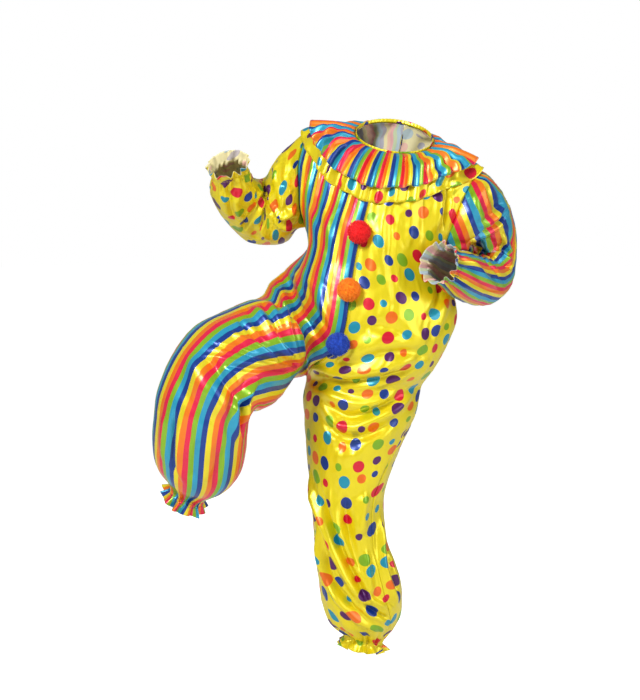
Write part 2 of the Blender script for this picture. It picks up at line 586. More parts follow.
# folds placed by hand, in millimetres: width, depth, and places (x, z) as seen from the front
frontFolds = {
    striped: (
        # chest
        (19, 2.7, (-228, -118), (-214, -202), (-186, -296)),
        (12, -2.7, (-209, -153), (-191, -242), (-164, -326)),
        (16, 2.1, (-181, -173), (-174, -252), (-152, -341)),
        (15, -2.1, (-147, -202), (-147, -291), (-132, -371)),
        (16, 1.4, (-117, -227), (-129, -326), (-119, -420)),
        (22, 2.7, (-261, -113), (-248, -202), (-226, -277), (-196, -327)),
        (11, -2.7, (-273, -173), (-258, -252), (-234, -312)),
        # hip creases
        (10, -7.8, (-280, -326), (-265, -402), (-246, -457), (-228, -489)),
        (10, 3.6, (-258, -335), (-241, -400), (-218, -454), (-199, -504)),
        (8, -3.6, (-231, -360), (-211, -425), (-184, -474), (-159, -509)),
        (10, 3, (-196, -370), (-186, -429), (-164, -484)),
        (8, -3.6, (-226, -464), (-196, -508), (-167, -548)),
        (7, -3, (-301, -361), (-279, -386), (-256, -396)),
        (7, 3, (-321, -391), (-291, -406), (-261, -429)),
        (7, -2.4, (-335, -411), (-301, -430), (-266, -465)),
        # thigh
        (11, 12, (-361, -430), (-332, -459), (-308, -498), (-279, -541), (-250, -576)),
        (8, -10, (-341, -415), (-308, -454), (-283, -503), (-254, -551)),
        (8, 10, (-293, -406), (-274, -455), (-257, -514), (-242, -558)),
        (7, -8, (-394, -458), (-356, -492), (-322, -525), (-278, -555)),
        (9, 8, (-418, -486), (-370, -508), (-322, -537), (-273, -566)),
        (5, -8, (-470, -512), (-403, -529), (-331, -553), (-266, -572)),
        (6, 6, (-490, -539), (-418, -551), (-350, -565), (-288, -577)),
        (5, -6, (-446, -563), (-374, -572), (-307, -580), (-249, -584)),
        (21, 14, (-496, -535), (-477, -597), (-439, -645), (-397, -698)),
        (13, -10, (-460, -537), (-426, -590), (-388, -643), (-369, -682)),
        (10, 8, (-332, -595), (-361, -624), (-369, -668), (-371, -717)),
        (6, -18, (-342, -619), (-369, -656), (-376, -698), (-376, -751)),
        (9, 9, (-327, -600), (-381, -646), (-393, -702), (-391, -756)),
        (7, -14, (-312, -540), (-278, -559), (-240, -579)),
        (8, 6, (-390, -637), (-395, -691), (-395, -754)),
        # shin
        (6, -10, (-535, -662), (-542, -749), (-545, -807), (-528, -851)),
        (10, 7.5, (-518, -677), (-526, -759), (-526, -822), (-512, -870)),
        (12, 6.3, (-561, -672), (-569, -749), (-567, -817)),
        (9, -5, (-476, -727), (-491, -795), (-498, -859)),
        (12, 6.3, (-447, -732), (-462, -800), (-474, -864)),
        (8, -5, (-419, -759), (-439, -822), (-458, -871)),
    ),
    dotted: (
        # chest and belly
        (7, -10.3, (124, -123), (122, -183), (117, -252)),
        (10, 6.9, (99, -133), (97, -197), (92, -262)),
        (8, -5.7, (66, -148), (66, -207), (62, -267)),
        (11, 5.7, (34, -163), (34, -227), (29, -296)),
        (10, -3.4, (-13, -188), (-18, -262), (-28, -341)),
        (20, 5.7, (-43, -207), (-53, -296), (-67, -395)),
        (14, 6.9, (87, -510), (112, -460), (132, -406)),
        (8, -6.9, (68, -476), (98, -431), (115, -386)),
        (18, 5.7, (-112, -558), (-43, -519), (32, -509), (96, -529)),
        (10, -5.7, (-122, -583), (-47, -554), (27, -549), (96, -568)),
        (22, 4.6, (-48, -420), (7, -459), (66, -484)),
        (12, -4.6, (-87, -474), (-23, -489), (42, -519)),
        # seat and thigh
        (12, 9.6, (-221, -590), (-151, -602), (-62, -595), (13, -572), (78, -545)),
        (8, -8.4, (-206, -615), (-141, -627), (-57, -620), (18, -600), (68, -575)),
        (11, 8.4, (-196, -650), (-151, -667), (-106, -680), (-52, -675), (13, -645)),
        (8, -8.4, (-196, -670), (-161, -695), (-116, -713), (-57, -697), (8, -667)),
        (12, 12, (-194, -685), (-166, -720), (-116, -740), (-57, -723), (13, -685), (55, -645)),
        (9, -7.2, (-191, -720), (-156, -753), (-111, -768), (-56, -755), (3, -720)),
        (26, 7.2, (-141, -827), (-96, -802), (-46, -771), (9, -731)),
        (16, -6, (-161, -786), (-116, -781), (-76, -786)),
        # knee and shin
        (10, 15.3, (-216, -828), (-209, -914), (-179, -1000), (-138, -1097), (-70, -1209)),
        (7, -13.6, (-199, -848), (-181, -937), (-146, -1028), (-101, -1127), (-50, -1209)),
        (10, 8.5, (-171, -874), (-156, -955), (-121, -1046), (-80, -1137)),
        (18, 11.9, (-76, -897), (-86, -963), (-96, -1024)),
        (10, -10.2, (-131, -889), (-126, -965), (-111, -1046), (-85, -1127)),
        (10, 13.6, (-199, -976), (-191, -1073), (-166, -1150), (-103, -1226), (-34, -1267)),
        (6, -11.9, (-186, -1027), (-171, -1104), (-133, -1170), (-80, -1226)),
        (6, -13.6, (-90, -1183), (-55, -1209), (-10, -1234)),
        (7, 10.2, (-85, -1158), (-45, -1188), (0, -1209)),
        (11, 13.6, (-37, -958), (-35, -1070), (-14, -1152), (14, -1213)),
        (7, -10.2, (-22, -1029), (-9, -1105), (11, -1172)),
        (10, 8.5, (-75, -1046), (-70, -1117), (-60, -1178)),
    ),
    ("sleeveRight",): (
        (7, -13.8, (-336, -121), (-328, -157), (-318, -197), (-303, -228)),
        (7, -10.3, (-333, -147), (-351, -192), (-377, -228), (-394, -253)),
        (8, 11.5, (-324, -162), (-308, -202), (-280, -215), (-242, -187)),
        (6, -10.3, (-319, -182), (-298, -220), (-273, -230), (-240, -207)),
        (8, 8, (-314, -213), (-289, -241), (-255, -246)),
        (7, -6.9, (-290, -137), (-277, -180), (-267, -207)),
        (10, 6.9, (-303, -61), (-303, -101), (-305, -147)),
        (8, -5.7, (-275, -46), (-280, -101), (-285, -137)),
        (10, 6.9, (-338, -167), (-348, -202), (-338, -253), (-318, -278)),
        (9, 6.9, (-392, -137), (-398, -182), (-393, -227)),
        (7, -5.7, (-415, -147), (-418, -187), (-408, -222)),
        (9, 5.7, (-262, -76), (-247, -116), (-244, -152)),
    ),
    ("sleeveLeft",): (
        (8, -15.4, (176, -283), (211, -258), (241, -240), (281, -207)),
        (9, 11, (202, -238), (243, -217), (278, -182)),
        (9, 11, (222, -268), (237, -295), (268, -313), (313, -331)),
        (7, -8.8, (211, -298), (242, -320), (277, -335), (312, -348)),
        (7, -6.6, (177, -287), (212, -314), (250, -349), (280, -391)),
        (10, 7.7, (151, -311), (191, -336), (226, -371), (256, -398)),
        (8, 7.7, (267, -253), (283, -283), (303, -313)),
        (8, 6.6, (125, -296), (164, -291), (199, -301)),
        (7, -6.6, (125, -326), (165, -331), (204, -350)),
        (9, 6.6, (120, -360), (160, -380), (204, -400)),
        (12, 5.5, (187, -147), (197, -187), (217, -228)),
        (9, -5.5, (223, -132), (238, -172), (254, -202)),
        (12, 5.5, (255, -147), (273, -182), (288, -218)),
    ),
}
# the same on the back and hidden sides, with x as in front
backFolds = {
    striped: (
        (18, 2.7, (-145, -160), (-150, -250), (-165, -340)),
        (12, -2.7, (-115, -150), (-122, -240), (-140, -330)),
        (18, 2.3, (-75, -140), (-88, -250), (-110, -360)),
        (22, 3.2, (-130, -440), (-190, -470), (-260, -520)),
        (13, -3.2, (-125, -490), (-190, -520), (-250, -560)),
        (22, 3.6, (-130, -550), (-200, -590), (-280, -620)),
        (12, -3.6, (-170, -610), (-240, -640), (-330, -655)),
        (16, 3.6, (-390, -620), (-405, -680), (-420, -730)),
        (12, -4.6, (-410, -600), (-430, -660), (-455, -710)),
        (16, 2.7, (-450, -660), (-480, -720), (-520, -770)),
        (13, -2.3, (-460, -760), (-475, -800), (-490, -840)),
    ),
    dotted: (
        (15, 4.2, (55, -140), (45, -240), (30, -340)),
        (10, -4.2, (85, -150), (78, -250), (65, -330)),
        (15, 4.2, (115, -170), (105, -270), (90, -380)),
        (20, 4.2, (-60, -470), (10, -500), (80, -470)),
        (13, -4.2, (-70, -530), (0, -560), (75, -530)),
        (18, 6.3, (-150, -630), (-70, -670), (30, -620)),
        (11, -6.3, (-150, -660), (-70, -700), (25, -650)),
        (18, 4.9, (-180, -740), (-110, -780), (-30, -720)),
        (13, -4.2, (-170, -800), (-110, -830), (-40, -780)),
        (15, 5.6, (-180, -880), (-130, -920), (-60, -890)),
        (10, -6.3, (-175, -920), (-130, -955), (-60, -930)),
        (13, 4.9, (-70, -960), (-85, -1050), (-60, -1140)),
        (11, -4.2, (-110, -1000), (-120, -1090), (-105, -1180)),
        (15, 4.9, (-150, -1020), (-150, -1100), (-130, -1200)),
    ),
    ("sleeveRight",): (
        (10, 8, (-300, -130), (-330, -170), (-380, -180)),
        (7, -9, (-300, -190), (-345, -210), (-400, -200)),
        (10, 7, (-330, -250), (-370, -240), (-420, -210)),
    ),
    ("sleeveLeft",): (
        (9, 8, (210, -240), (250, -270), (285, -280)),
        (7, -9, (205, -280), (245, -310), (290, -320)),
        (10, 8, (200, -330), (240, -350), (285, -370)),
    ),
}


def besideLine(points, line):
    # distance from each point to a bent line, and how far along it the nearest place is, 0 to 1
    seg = np.linalg.norm(line[1:] - line[:-1], axis=1)
    total = seg.sum()
    best = np.full(len(points), 1e9)
    place = np.zeros(len(points))
    walked = 0.0
    for a, b, length in zip(line[:-1], line[1:], seg):
        d = b - a
        t = np.clip((points - a) @ d / max(length**2, 1e-12), 0, 1)
        far = np.linalg.norm(points - (a + t[:, None] * d), axis=1)
        nearer = far < best
        best = np.where(nearer, far, best)
        place = np.where(nearer, (walked + t * length) / total, place)
        walked += length
    return best, place


def smoothLine(points, count=14):
    # a soft curve through a fold's few points
    p = np.array(points, float)
    if len(p) == 2:
        return np.linspace(p[0], p[1], 4)
    ext = np.concatenate([[2 * p[0] - p[1]], p, [2 * p[-1] - p[-2]]])
    out = []
    for i in range(1, len(ext) - 2):
        for k in range(count // (len(p) - 1) + 1):
            t = k / (count // (len(p) - 1) + 1)
            a, b, c, d = ext[i - 1:i + 3]
            out.append(0.5 * (2 * b + (c - a) * t + (2 * a - 5 * b + 4 * c - d) * t**2 +
                              (3 * b - a - 3 * c + d) * t**3))
    out.append(p[-1])
    return np.array(out)


def near(distance, reach, power=2):
    # 1 at a seam or an elastic, falling to 0 beyond its reach
    return np.exp(-(distance / reach) ** power)


def placeFolds(tree):
    # drops each fold's line onto the cloth, from in front or from behind
    placed = []
    for face, table in ((-1, frontFolds), (1, backFolds)):
        for pieces, rows in table.items():
            for width, depth, *points in rows:
                line = []
                for x, z in smoothLine(np.array(points) / 1000):
                    hit = tree.ray_cast(Vector((x, 1.5 * face, z)), Vector((0, -face, 0)), 3.0)
                    if hit[0] is not None:
                        line.append(np.array(hit[0]))
                if len(line) > 2:
                    placed.append((pieces, width / 1000, depth / 1000, np.array(line)))
    return placed


foldShape = {"reach": 3.2, "wander": 0.21, "wanderSize": 0.045, "endWidth": 0.55, "beside": 2.0,
             "besideDepth": 0.35}


def foldHeight(piece, folds):
    q = piece.rows.reshape(-1, 3)
    height = np.zeros(len(q))
    for pieces, width, depth, line in folds:
        if piece.name not in pieces:
            continue
        reach = width * foldShape["reach"]
        low, high = line.min(axis=0) - reach, line.max(axis=0) + reach
        close = np.where(((q > low) & (q < high)).all(axis=1))[0]
        if not len(close):
            continue
        wander = noise(q[close], foldShape["wanderSize"], 5) * width * foldShape["wander"]
        far, place = besideLine(q[close], line)
        fade = eased(np.clip(np.minimum(place, 1 - place) * 4.0, 0, 1))
        w = width * (foldShape["endWidth"] + (1 - foldShape["endWidth"]) * fade)
        far = np.abs(far + wander)
        # a ridge with a shallow hollow on each side
        shape = near(far, w) - foldShape["besideDepth"] * near(far - foldShape["beside"] * w, w)
        height[close] += depth * shape * fade
    return height.reshape(piece.rows.shape[:2])


def ripples(piece, size, stretch, seed):
    # long uneven waves in the piece's own flat cut
    s, t = piece.flat[..., 0], piece.flat[..., 1]
    p = np.stack([s / size, t / (size * stretch), np.full_like(s, seed * 0.37)], axis=2)
    bend = noise(p * 0.5, 1.0, seed + 11)
    p = p + np.stack([bend * 0.9, np.zeros_like(bend), np.zeros_like(bend)], axis=2)
    n = noise(p, 1.0, seed)
    return 1 - 2.0 * np.abs(n)


creases = {
    "frontRight": {"crush": 0.0009, "ripple": 0.0013, "rippleWidth": 0.034, "rippleLength": 4.5, "seed": 4,
                   "gathers": 9, "gatherDepth": 0.0060, "gatherReach": 0.055,
                   "pleats": 0.056, "pleatDepth": 0.0034},
    "backRight": {"crush": 0.0006, "ripple": 0.0012, "rippleWidth": 0.040, "rippleLength": 4.0, "seed": 9,
                  "gathers": 8, "gatherDepth": 0.0060, "gatherReach": 0.055,
                  "pleats": 0.060, "pleatDepth": 0.0032},
    "frontLeft": {"crush": 0.0013, "ripple": 0.0020, "rippleWidth": 0.044, "rippleLength": 3.6, "seed": 14,
                  "gathers": 9, "gatherDepth": 0.0065, "gatherReach": 0.055,
                  "pleats": 0.050, "pleatDepth": 0.0030},
    "backLeft": {"crush": 0.0009, "ripple": 0.0018, "rippleWidth": 0.040, "rippleLength": 4.0, "seed": 19,
                 "gathers": 8, "gatherDepth": 0.0065, "gatherReach": 0.055,
                 "pleats": 0.052, "pleatDepth": 0.0035},
    "sleeveRight": {"crush": 0.0015, "ripple": 0.0022, "rippleWidth": 0.036, "rippleLength": 3.0, "seed": 24,
                    "gathers": 17, "gatherDepth": 0.0050, "gatherReach": 0.040, "pleats": 0},
    "sleeveLeft": {"crush": 0.0014, "ripple": 0.0022, "rippleWidth": 0.036, "rippleLength": 3.0, "seed": 29,
                   "gathers": 17, "gatherDepth": 0.0050, "gatherReach": 0.040, "pleats": 0},
}
# seams: how far ripples and folds keep off them, then their pucker and groove; grain is everywhere
seams = {"rippleFree": 0.022, "foldFree": 0.012, "pucker": 0.0007, "puckerSize": 0.007, "puckerReach": 0.012,
         "groove": 0.0016, "grooveReach": 0.0035, "grain": 0.0004, "grainSize": 0.012}


def dressCloth(piece, folds):
    c = creases[piece.name]
    edge = piece.seamDistance()
    inside = 1 - near(edge, seams["rippleFree"])
    height = foldHeight(piece, folds) * (1 - near(edge, seams["foldFree"]))
    # gathers above the elastic
    elastic = piece.elasticRow
    rowNumbers = np.arange(len(piece.rows))[:, None]
    away = np.abs(piece.fromStart - piece.fromStart[elastic:elastic + 1])
    f = np.arange(piece.rows.shape[1]) / (piece.rows.shape[1] - 1)
    rng = np.random.default_rng(c["seed"])
    gathers = np.zeros_like(f)
    for m, size in ((c["gathers"], 0.6), (c["gathers"] + 5, 0.5), (c["gathers"] // 2, 0.5)):
        gathers += size * np.cos(2 * math.pi * (m * f + rng.uniform()))
    sides = np.sin(math.pi * f) ** 0.3
    strength = near(away, c["gatherReach"], 1.3) * (1 - near(away, 0.006) * 0.45)
    height += np.where(rowNumbers <= elastic, c["gatherDepth"] * gathers[None] * strength * sides[None], 0.0)
    above = 1 - np.clip((rowNumbers - elastic) / 3.0, 0, 1)  # the frill below keeps its own waves
    soft = inside * above
    broad = ripples(piece, c["rippleWidth"], c["rippleLength"], c["seed"])
    fine = ripples(piece, c["rippleWidth"] * 0.45, c["rippleLength"], c["seed"] + 3)
    height += soft * (c["ripple"] * (broad - 0.3) + c["crush"] * (fine - 0.3))
    if c["pleats"]:
        # the chest is gathered into the collar seam
        fade = np.clip(1 - (piece.places - 3.5) / 5.0, 0, 1) ** 1.5 * np.clip(piece.places, 0, 1)
        s = piece.flat[..., 0]
        wander = noise(np.stack([s / 0.05, piece.flat[..., 1] / 0.25, s * 0], axis=2), 1.0, 21)
        pleats = np.sin(2 * math.pi * s / c["pleats"] + 1.2 * wander)
        height += inside * fade[:, None] * c["pleatDepth"] * pleats
    pucker = noise(piece.rows, seams["puckerSize"], 31) * near(edge, seams["puckerReach"])
    height += seams["pucker"] * pucker * above
    height -= seams["groove"] * near(edge, seams["grooveReach"]) * above
    height += seams["grain"] * noise(piece.rows, seams["grainSize"], 41) * soft
    piece.rows = piece.rows + piece.normals * height[..., None]


def meshObject(name, piece, materials, thickness=0.0):
    rows, flat = piece.rows, piece.flat
    mesh = bpy.data.meshes.new(name)
    mesh.from_pydata(rows.reshape(-1, 3).tolist(), [], piece.quads().tolist())
    uv = mesh.uv_layers.new(name="cut")
    index = np.zeros(len(mesh.loops), dtype=np.int64)
    mesh.loops.foreach_get("vertex_index", index)
    uv.data.foreach_set("uv", flat.reshape(-1, 2)[index].ravel())
    mesh.polygons.foreach_set("use_smooth", [True] * len(mesh.polygons))
    for m in materials:
        mesh.materials.append(m)
    item = bpy.data.objects.new(name, mesh)
    bpy.context.scene.collection.objects.link(item)
    if thickness:
        shell = item.modifiers.new("thickness", "SOLIDIFY")
        shell.thickness, shell.offset = thickness, -1.0
        shell.material_offset = len(materials) - 1
        shell.material_offset_rim = len(materials) - 1
        shell.use_even_offset = False
    return item


def joinedMesh(name, points, faces, material, smooth=True):
    mesh = bpy.data.meshes.new(name)
    mesh.from_pydata(np.asarray(points).tolist(), [], faces if isinstance(faces, list) else faces.tolist())
    mesh.polygons.foreach_set("use_smooth", [smooth] * len(mesh.polygons))
    mesh.materials.append(material)
    item = bpy.data.objects.new(name, mesh)
    bpy.context.scene.collection.objects.link(item)
    return item


# Node groups shared by the cloths
def group(name, inputs, outputs):
    g = bpy.data.node_groups.new(name, "ShaderNodeTree")
    for label, kind, value in inputs:
        socket = g.interface.new_socket(name=label, in_out="INPUT", socket_type="NodeSocket" + kind)
        if value is not None:
            socket.default_value = value
    for label, kind in outputs:
        g.interface.new_socket(name=label, in_out="OUTPUT", socket_type="NodeSocket" + kind)
    return g, g.nodes.new("NodeGroupInput"), g.nodes.new("NodeGroupOutput")


def plug(tree, socket, value):
    # a socket takes a number, a colour, a vector or another node's output
    if isinstance(value, bpy.types.NodeSocket):
        tree.links.new(value, socket)
    elif value is not None:
        socket.default_value = value


def setInputs(node, values):
    for label, value in values.items():
        node.inputs[label].default_value = value


def math2(g, kind, a, b=None, c=None):
    n = g.nodes.new("ShaderNodeMath")
    n.operation = kind
    for k, value in enumerate((a, b, c)):
        plug(g, n.inputs[k], value)
    return n.outputs[0]


def vectorMath(g, kind, a, b=None, scale=None):
    n = g.nodes.new("ShaderNodeVectorMath")
    n.operation = kind
    plug(g, n.inputs[0], a)
    plug(g, n.inputs[1], b)
    if scale is not None:
        plug(g, n.inputs["Scale"], scale)
    return n.outputs["Value" if kind == "DOT_PRODUCT" else "Vector"]


def noiseNode(g, where, scale, detail=2.0, distortion=0.0):
    n = g.nodes.new("ShaderNodeTexNoise")
    setInputs(n, {"Scale": scale, "Detail": detail, "Distortion": distortion})
    plug(g, n.inputs["Vector"], where)
    return n.outputs[0]


def ramp(g, value, stops):
    n = g.nodes.new("ShaderNodeValToRGB")
    bands = n.color_ramp
    bands.interpolation = "CONSTANT"
    bands.elements[0].position = stops[0][0]
    bands.elements[0].color = tuple(stops[0][1]) + (1.0,)
    bands.elements.remove(bands.elements[1])
    for place, colour in stops[1:]:
        bands.elements.new(place).color = tuple(colour) + (1.0,)
    g.links.new(value, n.inputs[0])
    return n.outputs[0]


def mixColour(g, factor, a, b):
    n = g.nodes.new("ShaderNodeMix")
    n.data_type = "RGBA"
    plug(g, n.inputs["Factor"], factor)
    for k, value in ((6, a), (7, b)):
        plug(g, n.inputs[k], value + (1.0,) if isinstance(value, tuple) else value)
    return n.outputs[2]


dyes = {  # linear colours of the printed satin
    "yellow": (0.80, 0.66, 0.014), "orange": (0.88, 0.20, 0.006), "red": (0.78, 0.014, 0.065),
    "green": (0.24, 0.47, 0.012), "cyan": (0.022, 0.33, 0.52), "blue": (0.004, 0.042, 0.27),
    "purple": (0.085, 0.009, 0.115), "teal": (0.008, 0.27, 0.40), "dotRed": (0.66, 0.006, 0.028),
    "dotBlue": (0.005, 0.038, 0.25), "dotOrange": (0.82, 0.15, 0.004), "dotGreen": (0.20, 0.42, 0.008),
    "ground": (0.80, 0.655, 0.004),
}


stripeOrder = ("blue", "cyan", "green", "red", "orange", "yellow")
dotOrder = ("dotRed", "teal", "purple", "dotOrange", "dotBlue", "dotGreen")
# share of the picks at which each size starts, and its radius as a share of the spacing
dotSizes = ((0.0, 0.20), (0.26, 0.265), (0.50, 0.33))
dotJitter = 0.34
dotSharpness = 70.0


def stripeGroup():
    g, start, end = group("stripedPrint", [("Cut", "Vector", None), ("Repeat", "Float", 0.084),
                                           ("Shift", "Float", 0.0)], [("Color", "Color")])
    split = g.nodes.new("ShaderNodeSeparateXYZ")
    g.links.new(start.outputs["Cut"], split.inputs[0])
    place = math2(g, "ADD", split.outputs[0], start.outputs["Shift"])
    place = math2(g, "FRACT", math2(g, "DIVIDE", place, start.outputs["Repeat"]))
    bands = [(i / len(stripeOrder), dyes[n]) for i, n in enumerate(stripeOrder)]
    g.links.new(ramp(g, place, bands), end.inputs["Color"])
    return g


def dotGroup():
    # dots of three sizes on a staggered lattice, each with a colour of its own
    g, start, end = group("dottedPrint", [("Cut", "Vector", None), ("Spacing", "Float", 0.042),
                                          ("Turn", "Float", 0.0)], [("Color", "Color")])
    spin = g.nodes.new("ShaderNodeVectorRotate")
    spin.rotation_type = "Z_AXIS"
    g.links.new(start.outputs["Cut"], spin.inputs["Vector"])
    g.links.new(start.outputs["Turn"], spin.inputs["Angle"])
    perMetre = math2(g, "DIVIDE", 1.0, start.outputs["Spacing"])
    cells = g.nodes.new("ShaderNodeTexVoronoi")
    cells.voronoi_dimensions, cells.feature = "2D", "F1"
    setInputs(cells, {"Scale": 1.0, "Randomness": dotJitter})
    g.links.new(vectorMath(g, "SCALE", spin.outputs[0], scale=perMetre), cells.inputs["Vector"])
    # neighbouring dots differ in colour and size: both step from cell to cell
    cell = vectorMath(g, "FLOOR", cells.outputs["Position"])
    picks = []
    for steps in ((0.2113, 0.3861, 0.0), (0.6180, 0.7548, 0.0)):
        picks.append(math2(g, "FRACT", math2(g, "ADD", vectorMath(g, "DOT_PRODUCT", cell, steps), 50.013)))
    size = ramp(g, picks[1], [(at, (radius,) * 3) for at, radius in dotSizes])
    inside = math2(g, "SUBTRACT", size, cells.outputs["Distance"])
    mask = math2(g, "MULTIPLY_ADD", inside, dotSharpness, 0.5)
    mask.node.use_clamp = True
    colour = ramp(g, picks[0], [(i / len(dotOrder), dyes[n]) for i, n in enumerate(dotOrder)])
    g.links.new(mixColour(g, mask, dyes["ground"], colour), end.inputs["Color"])
    return g


weaveSizes = {"threadsAcross": 2200.0, "threadsDown": 300.0, "threadHeight": 0.08, "threadShade": 0.16,
              "crush": 38.0, "gloss": 0.27, "glossSpread": 0.16}


def satinGroup():
    # fine cross threads, slubs and soft crush marks of satin
    w = weaveSizes
    g, start, end = group("satinWeave", [("Cut", "Vector", None), ("Color", "Color", (1, 1, 1, 1)),
                                         ("Crush", "Float", 1.0)],
                          [("Color", "Color"), ("Roughness", "Float"), ("Height", "Float")])
    cut = start.outputs["Cut"]
    thread = noiseNode(g, vectorMath(g, "MULTIPLY", cut, (w["threadsAcross"], w["threadsDown"], 1.0)), 1.0)
    crush = noiseNode(g, cut, w["crush"], 3.0, 0.6)
    height = math2(g, "ADD", math2(g, "MULTIPLY", thread, w["threadHeight"]),
                   math2(g, "MULTIPLY", crush, start.outputs["Crush"]))
    g.links.new(height, end.inputs["Height"])
    g.links.new(math2(g, "MULTIPLY_ADD", crush, w["glossSpread"], w["gloss"]), end.inputs["Roughness"])
    shade = math2(g, "MULTIPLY_ADD", thread, w["threadShade"], 1 - w["threadShade"] / 2)
    g.links.new(vectorMath(g, "SCALE", start.outputs["Color"], scale=shade), end.inputs["Color"])
    return g


def newPaint(name):
    m = bpy.data.materials.new(name)
    m.use_nodes = True
    return m, m.node_tree, m.node_tree.nodes["Principled BSDF"]


def groupNode(tree, shared):
    n = tree.nodes.new("ShaderNodeGroup")
    n.node_tree = shared
    return n


prints = {"striped": {"Repeat": 0.084, "Shift": 0.0}, "dotted": {"Spacing": 0.047, "Turn": 0.35}}
rightSide = {"Specular IOR Level": 0.45, "Metallic": 0.32, "Coat Weight": 0.30, "Coat Roughness": 0.22}
wrongSide = {"Specular IOR Level": 0.25, "Metallic": 0.0, "Coat Weight": 0.0, "Coat Roughness": 0.22}
paleness = {"share": 0.55, "colour": (0.86, 0.84, 0.78)}  # of the print seen from its back


def satin(name, kind, wrong=False):
    m, t, shader = newPaint(name)
    uv = t.nodes.new("ShaderNodeUVMap")
    uv.uv_map = "cut"
    pattern, weave = groupNode(t, groups[kind]), groupNode(t, groups["satin"])
    t.links.new(uv.outputs[0], pattern.inputs["Cut"])
    t.links.new(uv.outputs[0], weave.inputs["Cut"])
    setInputs(pattern, prints[kind])
    colour = pattern.outputs["Color"]
    if wrong:
        colour = mixColour(t, paleness["share"], colour, paleness["colour"])
    t.links.new(colour, weave.inputs["Color"])
    t.links.new(weave.outputs["Color"], shader.inputs["Base Color"])
    t.links.new(weave.outputs["Roughness"], shader.inputs["Roughness"])
    bump = t.nodes.new("ShaderNodeBump")
    setInputs(bump, {"Distance": 0.0012, "Strength": 0.5})
    t.links.new(weave.outputs["Height"], bump.inputs["Height"])
    t.links.new(bump.outputs[0], shader.inputs["Normal"])
    setInputs(shader, wrongSide if wrong else rightSide)
    return m


def yarn(name, colour, dark):
    m, t, shader = newPaint(name)
    where = t.nodes.new("ShaderNodeTexCoord").outputs["Object"]
    t.links.new(mixColour(t, noiseNode(t, where, 260.0), dark, colour), shader.inputs["Base Color"])
    setInputs(shader, {"Roughness": 0.85, "Sheen Weight": 0.12})
    return m


def threadPaint(name, colour):
    m, t, shader = newPaint(name)
    dark = tuple(c * 0.8 for c in colour)
    t.links.new(mixColour(t, noiseNode(t, None, 900.0), dark, colour), shader.inputs["Base Color"])
    setInputs(shader, {"Roughness": 0.55})
    return m


pompoms = {"diameter": 0.060, "fibres": 2800, "thickness": 0.0011, "shorter": 0.10, "bend": 0.10,
           "core": 0.86, "coreBumps": 0.05, "coreRings": 24, "coreSides": 36}
strand = ((0.70, 0.6), (0.85, 1.0), (0.95, 0.9), (1.0, 0.3))  # along a fibre: place, share of thickness


def makePompom(name, seed):
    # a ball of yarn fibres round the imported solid's middle
    p = pompoms
    low, high = (np.array(v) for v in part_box(name))
    centre, radius = (low + high) / 2, p["diameter"] / 2
    rng = np.random.default_rng(seed)
    n = p["fibres"]
    aim = unit(rng.normal(size=(n, 3)))
    length = radius * (1.0 - p["shorter"] * rng.random(n) ** 2)
    bend = unit(rng.normal(size=(n, 3))) * (radius * p["bend"] * rng.random(n))[:, None]
    side = unit(np.cross(aim, rng.normal(size=(n, 3))))
    other = np.cross(aim, side)
    points, faces = [], []
    for t, w in strand:
        spine = centre + aim * (length * t)[:, None] + bend * t**2
        for a in range(3):
            turn = 2 * math.pi * a / 3
            points.append(spine + (side * math.cos(turn) + other * math.sin(turn)) * p["thickness"] * w / 2)
    points = np.stack(points, axis=1).reshape(-1, 3)
    for i in range(n):
        s = i * 12
        for k in range(3):
            for a in range(3):
                b = (a + 1) % 3
                faces.append((s + 3 * k + a, s + 3 * k + b, s + 3 * k + 3 + b, s + 3 * k + 3 + a))
        faces.append((s + 9, s + 10, s + 11))
    # a rough core behind the fibres, so that no gap shows through
    start, rings, sides = len(points), p["coreRings"], p["coreSides"]
    core = []
    for k in range(rings + 1):
        up = math.pi * k / rings
        for a in range(sides):
            turn = 2 * math.pi * a / sides
            core.append((math.sin(up) * math.cos(turn), math.sin(up) * math.sin(turn), math.cos(up)))
    core = np.array(core)
    core = centre + core * (radius * (p["core"] + p["coreBumps"] * noise(core, 0.16, seed)))[:, None]
    for k in range(rings):
        for a in range(sides):
            b = (a + 1) % sides
            faces.append((start + k * sides + a, start + (k + 1) * sides + a,
                          start + (k + 1) * sides + b, start + k * sides + b))
    return joinedMesh(name + "Yarn", np.concatenate([points, core]), faces, looks[name])


def stitchRun(line, out, stitch, gap, width, zigzag=0.0):
    # short raised threads along a line of places; out is the way off the cloth at each
    lengths = np.concatenate([[0.0], np.cumsum(np.linalg.norm(line[1:] - line[:-1], axis=1))])
    points, faces = [], []
    at, count = gap, 0
    while at + stitch < lengths[-1]:
        ends = []
        for q in (at, at + stitch):
            ends.append(np.array([np.interp(q, lengths, line[:, k]) for k in range(3)]))
        up = unit(np.array([np.interp(at + stitch / 2, lengths, out[:, k]) for k in range(3)]))
        run = ends[1] - ends[0]
        side = unit(np.cross(run, up))
        if zigzag:
            swing = zigzag / 2 * (1 if count % 2 else -1)
            ends = [ends[0] - side * swing, ends[1] + side * swing]
            run = ends[1] - ends[0]
            side = unit(np.cross(run, up))
        s = len(points)
        middle = (ends[0] + ends[1]) / 2 + up * width * 0.5
        points += [ends[0] - up * width * 0.3, middle + side * width / 2, middle + up * width * 0.5,
                   middle - side * width / 2, ends[1] - up * width * 0.3]
        faces += [(s, s + 1, s + 2), (s, s + 2, s + 3), (s + 4, s + 2, s + 1), (s + 4, s + 3, s + 2)]
        at += stitch + gap
        count += 1
    return points, faces


def stitches(name, runs, material):
    points, faces = [], []
    for run in runs:
        p, f = stitchRun(*run)
        start = len(points)
        points += p
        faces += [tuple(k + start for k in q) for q in f]
    return joinedMesh(name, np.array(points), faces, material, smooth=False)


